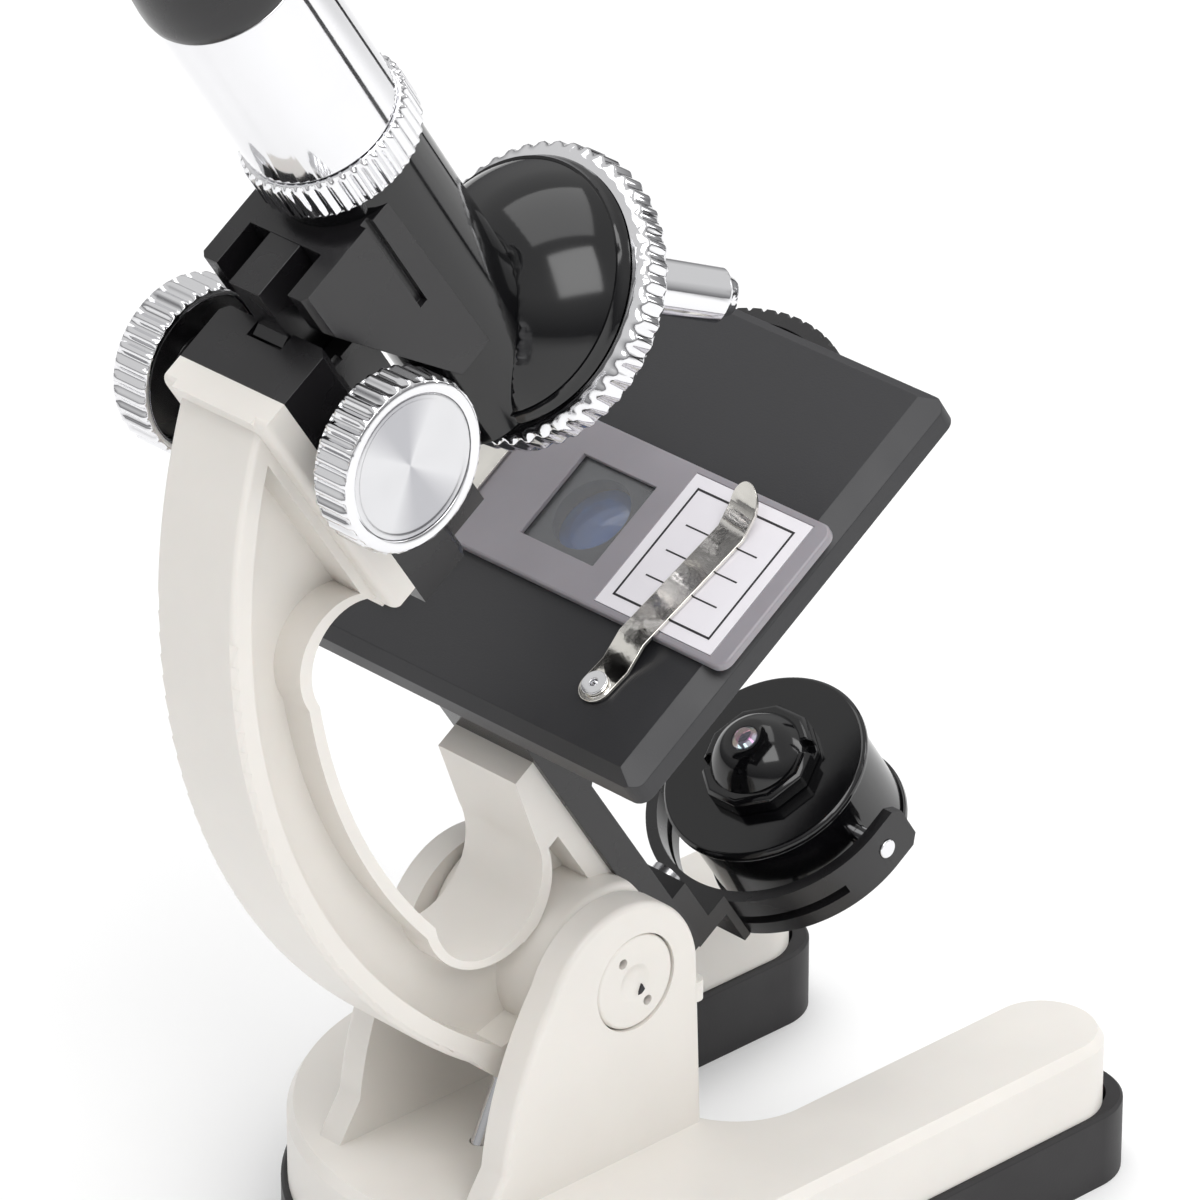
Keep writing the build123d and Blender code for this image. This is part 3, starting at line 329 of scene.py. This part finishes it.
# ---- mesh helpers ----
def shown(name, mesh, material, body, replaced=()):
    """Show a finished mesh with its material, body and the nodes that it stands for."""
    mesh.name = name
    piece = bpy.data.objects.new(name, mesh)
    bpy.context.collection.objects.link(piece)
    mesh.materials.clear()
    mesh.materials.append(MATERIALS[material])
    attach(piece, body)
    if replaced:
        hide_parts(*replaced)
    return piece


def bevelled(mesh, width_mm, segments=3, angle=31.0):
    """The mesh with its edges rounded, its faces smooth and its normals weighted."""
    helper = bpy.data.objects.new("helper", mesh)
    bpy.context.collection.objects.link(helper)
    for polygon in mesh.polygons:
        polygon.use_smooth = True
    edge = helper.modifiers.new("edge", "BEVEL")
    edge.width = width_mm * MM
    edge.segments = segments
    edge.limit_method = "ANGLE"
    edge.angle_limit = math.radians(angle)
    edge.harden_normals = True
    edge.use_clamp_overlap = True
    weigh = helper.modifiers.new("weigh", "WEIGHTED_NORMAL")
    weigh.keep_sharp = True
    done = worked_mesh(helper)
    bpy.data.objects.remove(helper)
    return done


def eased(mesh, width_mm):
    """A turning with only its true corners rounded, and the facets of its ribs left alone."""
    return bevelled(mesh, width_mm, segments=2, angle=40.0)


def worked_mesh(helper):
    """A new mesh of the helper as its modifiers leave it."""
    bpy.context.view_layer.update()
    return bpy.data.meshes.new_from_object(
        helper.evaluated_get(bpy.context.evaluated_depsgraph_get()))


def cut(mesh, cutter):
    """The mesh less the cutter."""
    whole = bpy.data.objects.new("whole", mesh)
    tool = bpy.data.objects.new("tool", cutter)
    for item in (whole, tool):
        bpy.context.collection.objects.link(item)
    less = whole.modifiers.new("less", "BOOLEAN")
    less.object = tool
    less.solver = "EXACT"
    done = worked_mesh(whole)
    for item in (whole, tool):
        bpy.data.objects.remove(item)
    return done


def softened(node, width_mm, material, segments=3, angle=31.0, cutter=None):
    """Show a CAD node's form with rounded edges in place of the node, less any cutter."""
    source = frame["nodes"][node]
    mesh = source.data.copy()
    if cutter:
        mesh = cut(mesh, cutter)
    work = bmesh.new()
    work.from_mesh(mesh)
    bmesh.ops.remove_doubles(work, verts=work.verts, dist=0.002 * MM)
    bmesh.ops.dissolve_limit(work, angle_limit=math.radians(0.6),
                             verts=work.verts, edges=work.edges)
    work.to_mesh(mesh)
    work.free()
    return shown(f"{node}_form", bevelled(mesh, width_mm, segments, angle), material,
                 body_of(source)[0], (node,))


def finish_node(node, material):
    """Give a CAD node that stays its better material."""
    data = frame["nodes"][node].data
    data.materials.clear()
    data.materials.append(MATERIALS[material])


def turned(profile, place, steps=128, ribs=0, rib_depth=0.0, ribbed=()):
    """A turning from a closed (radius, height) profile in mm; listed points carry the ribs."""
    work = bmesh.new()
    if ribs:
        steps = ribs * STEPS_PER_RIB
    rings = []
    for index, (radius, height) in enumerate(profile):
        ring = []
        for step in range(steps):
            angle = 2 * math.pi * step / steps
            reach = radius
            if index in ribbed:
                wave = math.cos(angle * ribs)
                crest = math.copysign(abs(wave) ** RIB_SQUARENESS, wave)
                reach -= rib_depth * (0.5 - 0.5 * crest)
            point = Vector((reach * math.cos(angle), reach * math.sin(angle), height))
            ring.append(work.verts.new(place @ point))
        rings.append(ring)
    count = len(rings)
    for index in range(count):
        low, high = rings[index], rings[(index + 1) % count]
        for step in range(steps):
            after = (step + 1) % steps
            work.faces.new((low[step], low[after], high[after], high[step]))
    bmesh.ops.remove_doubles(work, verts=work.verts, dist=0.0005 * MM)
    bmesh.ops.recalc_face_normals(work, faces=work.faces)
    mesh = bpy.data.meshes.new("turned")
    work.to_mesh(mesh)
    work.free()
    return mesh


def joined(meshes):
    """Several meshes as one."""
    work = bmesh.new()
    for mesh in meshes:
        work.from_mesh(mesh)
    whole = bpy.data.meshes.new("joined")
    work.to_mesh(whole)
    work.free()
    return whole


def prism(outline, low, high, place):
    """A straight prism from an (x, y) outline in mm."""
    work = bmesh.new()
    base = [work.verts.new(place @ Vector((x, y, low))) for x, y in outline]
    top = [work.verts.new(place @ Vector((x, y, high))) for x, y in outline]
    work.faces.new(list(reversed(base)))
    work.faces.new(top)
    for index in range(len(outline)):
        after = (index + 1) % len(outline)
        work.faces.new((base[index], base[after], top[after], top[index]))
    bmesh.ops.recalc_face_normals(work, faces=work.faces)
    mesh = bpy.data.meshes.new("prism")
    work.to_mesh(mesh)
    work.free()
    return mesh


def round_outline(x, y, radius, steps=28):
    """Points of a circle round (x, y), in mm."""
    angles = [2 * math.pi * step / steps for step in range(steps)]
    return [(x + radius * math.cos(angle), y + radius * math.sin(angle)) for angle in angles]


def oblong(left, right, front, back):
    """Corners of a rectangle, in mm."""
    return [(left, front), (right, front), (right, back), (left, back)]


# ---- operators, one for each piece or group of like pieces ----
class MICROSCOPE_OT_foot(bpy.types.Operator):
    """Foot: white shell with ears, black sole, pivot caps and stop rod"""

    bl_idname = "microscope.foot"
    bl_label = "Foot"

    def execute(self, context):
        sizes = context.scene.microscope_sizes
        softened("foot_shell", sizes.moulded_edge, "moulded_white_abs")
        softened("sole_tray", 0.5, "moulded_sole_plastic")
        softened("stop_rod", 0.35, "chrome_plating")
        for node in ("sole_screws", "ballast_plate", "pivot_shaft", "friction_washers"):
            finish_node(node, "drawn_steel")
        profile = [(0.001, 17.05), (1.2, 17.12), (2.2, 17.35), (2.6, 17.58), (3.0, 17.7),
                   (6.7, 17.7), (7.05, 17.6), (7.28, 17.35), (7.34, 17.0), (7.34, 15.7),
                   (0.001, 15.7)]
        key_x, key_y, key_radius = 3.8, 2.4, 0.8
        hole_floor, hole_mouth = 16.3, 18.5
        caps, print_and_hole_shade = [], []
        for side in (-1, 1):
            place = cap_frame(side)
            keys = [round_outline(-side * key * key_x, key * key_y, key_radius)
                    for key in (-1, 1)]
            holes = joined([prism(key, hole_floor, hole_mouth, place) for key in keys])
            caps.append(eased(cut(turned(profile, place, steps=96), holes), 0.1))
            # Black discs at the floor of the key holes are painted shade: they stand in for the
            # dark inside of each hole. The arrow below is print.
            print_and_hole_shade += [prism(key, hole_floor - 0.1, hole_floor + 0.15, place) for key in keys]
            arrow = [(side * 2.4, -0.7), (side * 2.4, -2.3), (side * 0.9, -1.5)]
            print_and_hole_shade.append(prism(arrow, 17.0, 17.62, place))
        shown("cap_discs", joined(caps), "moulded_white_abs", "foot",
              ("pivot_caps",))
        shown("cap_print_and_hole_shade", joined(print_and_hole_shade), "printing_ink", "foot")
        return {"FINISHED"}


class MICROSCOPE_OT_arm(bpy.types.Operator):
    """Arm: the white C with its recesses and boss"""

    bl_idname = "microscope.arm"
    bl_label = "Arm"

    def execute(self, context):
        softened("arm", context.scene.microscope_sizes.moulded_edge, "moulded_white_abs")
        for node in ("housing_screws", "bracket_screws", "stage_screws", "filter_screw"):
            finish_node(node, "drawn_steel")
        return {"FINISHED"}


class MICROSCOPE_OT_focus(bpy.types.Operator):
    """Focus: rack housing, carriage, rack, shaft, pinion and ribbed knobs"""

    bl_idname = "microscope.focus"
    bl_label = "Focus"

    def execute(self, context):
        sizes = context.scene.microscope_sizes
        softened("rack_housing", sizes.trim_edge, "moulded_black_abs")
        # An upright groove in each side of the carriage, from its floor out past its face.
        groove_floor, past_face, groove_low, groove_high = 9.3, 12.0, 64.0, 83.0
        grooves = [prism(oblong(side * groove_floor, side * past_face, 6.5, 7.9),
                         groove_low, groove_high, ARM) for side in (-1, 1)]
        softened("carriage", sizes.trim_edge, "moulded_black_abs", cutter=joined(grooves))
        softened("rack", 0.12, "moulded_black_abs", segments=2)
        softened("knob_hubs", 0.3, "moulded_black_abs")
        for node in ("focus_shaft", "rack_screws"):
            finish_node(node, "drawn_steel")
        finish_node("pinion", "machined_brass")
        profile = [(4.7, 22.5), (10.45, 22.5), (10.45, 23.6), (11.0, 23.8), (11.7, 23.8),
                   (12.2, 23.55), (12.55, 23.0), (12.6, 22.3), (12.6, 18.0), (12.45, 17.4),
                   (12.0, 17.05), (11.4, 17.0), (10.95, 17.2), (10.95, 21.5), (4.7, 21.5)]
        drums = [turned(profile, knob_frame(side), ribs=sizes.knob_ribs, rib_depth=0.75,
                        ribbed=(6, 7, 8, 9)) for side in (-1, 1)]
        shown("knob_grips", eased(joined(drums), 0.12), "chrome_plating", "focus_knobs",
              ("knob_drums",))
        dish = [(0.001, 22.75), (10.3, 22.75), (10.38, 22.85), (10.38, 23.4), (10.2, 23.52),
                (9.75, 23.52), (9.55, 23.42), (9.3, 23.32), (6.0, 23.16), (3.0, 23.04),
                (1.0, 22.98), (0.001, 22.97)]
        for name, side in (("left", -1), ("right", 1)):
            shown(f"knob_dish_{name}", eased(turned(dish, knob_frame(side), steps=160), 0.04),
                  "spun_aluminium", "focus_knobs", ("knob_faces",))
        return {"FINISHED"}


class MICROSCOPE_OT_tube(bpy.types.Operator):
    """Tube: polished body tube, dome over the turret and knurled collar"""

    bl_idname = "microscope.tube"
    bl_label = "Tube"

    def execute(self, context):
        softened("body_tube", 0.3, "polished_black_abs")
        softened("nose_dome", 0.35, "polished_black_abs")
        profile = [(9.6, 84.75), (11.9, 84.75), (12.3, 84.95), (12.5, 85.3), (12.5, 90.3),
                   (12.3, 90.75), (11.8, 91.15), (9.6, 91.15)]
        ring = turned(profile, ARM, ribs=44, rib_depth=0.55, ribbed=(2, 3, 4, 5))
        shown("collar_grip", eased(ring, 0.1), "chrome_plating", "tube_carriage",
              ("collar_ring",))
        return {"FINISHED"}


class MICROSCOPE_OT_eyepiece(bpy.types.Operator):
    """Eyepiece: plated barrel, black eyecup and lenses"""

    bl_idname = "microscope.eyepiece"
    bl_label = "Eyepiece"

    def execute(self, context):
        softened("eyepiece_tube", 0.25, "chrome_plating")
        profile = [(4.7, 117.1), (9.2, 117.1), (9.2, 121.05), (11.35, 121.05), (11.6, 121.4),
                   (11.78, 122.6), (11.8, 124.0), (11.65, 126.4), (11.3, 128.8), (10.8, 131.2),
                   (10.35, 133.2), (10.0, 134.0), (9.5, 134.42), (8.9, 134.45), (8.3, 134.15),
                   (7.5, 133.2), (6.4, 131.9), (5.4, 131.5), (4.7, 131.4)]
        shown("eyecup_turned", eased(turned(profile, ARM), 0.1), "moulded_black_abs",
              "eyepiece", ("eyecup",))
        for node in ("eye_lens", "field_lens"):
            finish_node(node, "coated_optical_glass")
        return {"FINISHED"}


class MICROSCOPE_OT_turret(bpy.types.Operator):
    """Turret: ribbed ring, seat plate, three stepped objectives and their lenses"""

    bl_idname = "microscope.turret"
    bl_label = "Turret"

    def execute(self, context):
        sizes = context.scene.microscope_sizes
        profile = [(17.55, -0.3), (19.6, -0.3), (20.6, -0.75), (21.4, -1.3), (21.7, -1.8),
                   (21.7, -5.0), (21.5, -5.5), (21.0, -5.8), (17.55, -5.8)]
        ring = turned(profile, TURRET, ribs=sizes.turret_ribs, rib_depth=0.5, ribbed=(3, 4, 5, 6))
        shown("turret_grip", eased(ring, 0.12), "chrome_plating", "turret",
              ("turret_ring",))
        softened("turret_plate", 0.25, "chrome_plating")
        for node in ("objective_low", "objective_mid", "objective_high"):
            softened(node, 0.2, "chrome_plating")
        finish_node("turret_screw", "drawn_steel")
        finish_node("objective_lenses", "coated_optical_glass")
        return {"FINISHED"}


class MICROSCOPE_OT_stage_plate(bpy.types.Operator):
    """Stage: grained plate, bracket, condenser lens and filter wheel"""

    bl_idname = "microscope.stage_plate"
    bl_label = "Stage plate"

    def execute(self, context):
        sizes = context.scene.microscope_sizes
        softened("stage_plate", 0.35, "grained_black_abs")
        softened("stage_bracket", sizes.trim_edge, "moulded_black_abs")
        softened("filter_disc", 0.15, "moulded_black_abs")
        softened("lens_ring", 0.15, "moulded_black_abs")
        softened("clip_rivets", 0.15, "chrome_plating")
        finish_node("condenser_lens", "bloomed_condenser_glass")
        finish_node("filter_gels", "amber_gel")
        return {"FINISHED"}


class MICROSCOPE_OT_clips(bpy.types.Operator):
    """Clips: bright sprung leaves with upturned tips"""

    bl_idname = "microscope.clips"
    bl_label = "Clips"

    def execute(self, context):
        for node in ("stage_clip_left", "stage_clip_right"):
            softened(node, 0.15, "rolled_spring_steel")
        return {"FINISHED"}


class MICROSCOPE_OT_slide(bpy.types.Operator):
    """Slide: frosted plate, clear window, blank card with a ruled border"""

    bl_idname = "microscope.slide"
    bl_label = "Slide"

    def execute(self, context):
        softened("specimen_slide", 0.2, "frosted_styrene")
        finish_node("slide_window", "clear_styrene")
        finish_node("slide_label", "coated_card")
        border, ink, fine_ink, indent, first_row, row_pitch = 1.9, 0.35, 0.25, 2.6, 5.0, 4.6
        left, right = -34.8 + border, -11.7 - border
        front, back = -11.8 + border, 11.8 - border
        outlines = [oblong(left, right, y, y + ink) for y in (front, back - ink)]
        outlines += [oblong(x, x + ink, front, back) for x in (left, right - ink)]
        for y in (first_row - row_pitch * row for row in range(3)):
            outlines.append(oblong(left + indent, right - indent, y, y + fine_ink))
        card_top, ink_top = 1.48, 1.51
        lines = [prism(outline, card_top, ink_top, ARM) for outline in outlines]
        shown("card_ruling", joined(lines), "printing_ink", "slide")
        return {"FINISHED"}


class MICROSCOPE_OT_lamp(bpy.types.Operator):
    """Lamp: glossy drum, flange, ten-sided bezel, lens, yoke and mirror"""

    bl_idname = "microscope.lamp"
    bl_label = "Lamp"

    def execute(self, context):
        for node in ("lamp_drum", "lamp_flange", "lamp_bezel", "mirror_rim"):
            softened(node, 0.3, "polished_black_abs")
        profile = [(2.05, 16.0), (3.2, 16.02), (3.7, 15.8), (4.9, 15.0), (6.1, 13.8),
                   (7.0, 12.4), (7.5, 11.2), (7.6, 10.0), (2.05, 10.0)]
        shown("bezel_dome", eased(turned(profile, LAMP), 0.08), "polished_black_abs", "lamp")
        # The lower end of the yoke's leg doesn't show on the finished yoke, so it comes off.
        below_leg = prism(oblong(-8, 8, 20.9, 28.5), -5.0, 2.8, LAMP)
        softened("yoke", context.scene.microscope_sizes.trim_edge, "moulded_black_abs",
                 cutter=below_leg)
        softened("trunnion_pins", 0.2, "chrome_plating")
        for node in ("lamp_lens", "lamp_bulb"):
            finish_node(node, "coated_optical_glass")
        finish_node("lamp_board", "lacquered_board")
        finish_node("lamp_mirror", "silvered_mirror")
        for node in ("contact_spring", "coin_cell"):
            finish_node(node, "drawn_steel")
        return {"FINISHED"}


# ---- studio ----
FLOOR_REACH = 8.0
CAMERA_AZIMUTH, CAMERA_ELEVATION = math.radians(226.5), math.radians(27.0)
CAMERA_OFFSET = Vector((-0.7963, 0.7542, 0.5455))     # from the middle of the stage, in metres
# Name, offset from the middle of the stage, size, and power against the key light.
SOFTBOXES = (("key_softbox", (-0.9, 0.35, 1.1), 0.9, 1.0),
             ("top_softbox", (0.2, -0.1, 1.4), 1.2, 0.8),
             ("side_softbox", (-0.6, -1.2, 0.5), 0.6, 0.35))
# Name, and the two ends of its foot on the floor.
FLAGS = (("near_flag", (-0.2, -0.29), (-0.2, -0.38)),
         ("far_flag", (0.11, -0.5), (0.17, -0.5)))
FLAG_HEIGHT = 0.34


def sheet(name, corners, material):
    """A flat four-cornered sheet of the studio."""
    mesh = bpy.data.meshes.new(name)
    mesh.from_pydata(corners, [], [(0, 1, 2, 3)])
    mesh.materials.append(MATERIALS[material])
    made = bpy.data.objects.new(name, mesh)
    bpy.context.collection.objects.link(made)
    return made


def surround(scene):
    """A world that is grey towards the floor and white from half way up."""
    world = bpy.data.worlds.new("studio")
    scene.world = world
    world.use_nodes = True
    tree = world.node_tree
    tree.nodes.clear()
    out = add(tree, "ShaderNodeOutputWorld")
    place = add(tree, "ShaderNodeTexCoord").outputs["Generated"]
    split = add(tree, "ShaderNodeSeparateXYZ", {"Vector": place})
    ramp = add(tree, "ShaderNodeValToRGB", {"Fac": split.outputs["Z"]})
    ramp.color_ramp.elements[0].color = linear("8A8A8C")
    ramp.color_ramp.elements[1].position = 0.5
    ramp.color_ramp.elements[1].color = linear("FFFFFF")
    glow = add(tree, "ShaderNodeBackground", {"Color": ramp.outputs["Color"], "Strength": 0.72})
    tree.links.new(glow.outputs["Background"], out.inputs["Surface"])


def softbox(name, offset, size, power):
    """A square area light that faces the middle of the stage."""
    light = bpy.data.lights.new(name, "AREA")
    light.energy = power
    light.size = size
    box = bpy.data.objects.new(name, light)
    box.location = STAGE_TOP + Vector(offset)
    box.rotation_euler = Vector(offset).to_track_quat("Z", "Y").to_euler()
    bpy.context.collection.objects.link(box)


def stand_camera(scene, lens):
    """The camera, turned to its azimuth and elevation."""
    data = bpy.data.cameras.new("camera")
    data.lens = lens
    data.sensor_width = 36.0
    data.clip_start = 0.05
    camera = bpy.data.objects.new("camera", data)
    back = Vector((math.sin(CAMERA_AZIMUTH) * math.cos(CAMERA_ELEVATION),
                   -math.cos(CAMERA_AZIMUTH) * math.cos(CAMERA_ELEVATION),
                   math.sin(CAMERA_ELEVATION)))
    camera.rotation_euler = back.to_track_quat("Z", "Y").to_euler()
    camera.location = STAGE_TOP + CAMERA_OFFSET
    bpy.context.collection.objects.link(camera)
    scene.camera = camera


class MICROSCOPE_OT_studio(bpy.types.Operator):
    """Studio: pale floor, bright surround, softboxes, dark flags and the camera"""

    bl_idname = "microscope.studio"
    bl_label = "Studio"

    def execute(self, context):
        sizes = context.scene.microscope_sizes
        reach = FLOOR_REACH
        floor = sheet("floor", [(-reach, -reach, 0), (reach, -reach, 0), (reach, reach, 0),
                                (-reach, reach, 0)], "matt_paper")
        surround(context.scene)
        for name, offset, size, share in SOFTBOXES:
            softbox(name, offset, size, sizes.key_power * share)
        # Dark cards that put streaks in the chrome, and are seen only in reflections.
        for name, start, end in FLAGS:
            flag = sheet(name, [(*start, 0.0), (*end, 0.0), (*end, FLAG_HEIGHT),
                                (*start, FLAG_HEIGHT)], "moulded_sole_plastic")
            flag.visible_camera = flag.visible_shadow = flag.visible_diffuse = False
        stand_camera(context.scene, sizes.lens)
        context.scene.view_settings.view_transform = "Standard"
        return {"FINISHED"}


OPERATORS = (MICROSCOPE_OT_foot, MICROSCOPE_OT_arm, MICROSCOPE_OT_focus, MICROSCOPE_OT_tube,
             MICROSCOPE_OT_eyepiece, MICROSCOPE_OT_turret, MICROSCOPE_OT_stage_plate,
             MICROSCOPE_OT_clips, MICROSCOPE_OT_slide, MICROSCOPE_OT_lamp,
             MICROSCOPE_OT_studio)


class MICROSCOPE_PT_panel(bpy.types.Panel):
    """Sidebar panel that lists the microscope's pieces"""

    bl_idname = "MICROSCOPE_PT_panel"
    bl_label = "Student microscope"
    bl_space_type = "VIEW_3D"
    bl_region_type = "UI"
    bl_category = "Microscope"

    def draw(self, context):
        layout = self.layout
        for group in (context.scene.microscope_colours, context.scene.microscope_sizes):
            for name in group.__annotations__:
                layout.prop(group, name)
        for operator in OPERATORS:
            layout.operator(operator.bl_idname)


CLASSES = (MicroscopeColours, MicroscopeSizes, *OPERATORS, MICROSCOPE_PT_panel)


def register():
    """Register the classes and attach the settings to the scene."""
    for cls in CLASSES:
        bpy.utils.register_class(cls)
    bpy.types.Scene.microscope_colours = bpy.props.PointerProperty(type=MicroscopeColours)
    bpy.types.Scene.microscope_sizes = bpy.props.PointerProperty(type=MicroscopeSizes)


def unregister():
    """Take the settings and classes away again."""
    del bpy.types.Scene.microscope_sizes
    del bpy.types.Scene.microscope_colours
    for cls in reversed(CLASSES):
        bpy.utils.unregister_class(cls)


def main():
    """Build every piece and the studio."""
    register()
    make_materials(bpy.context.scene.microscope_colours)
    for operator in OPERATORS:
        group, name = operator.bl_idname.split(".")
        getattr(getattr(bpy.ops, group), name)()


if __name__ == "__main__":
    main()
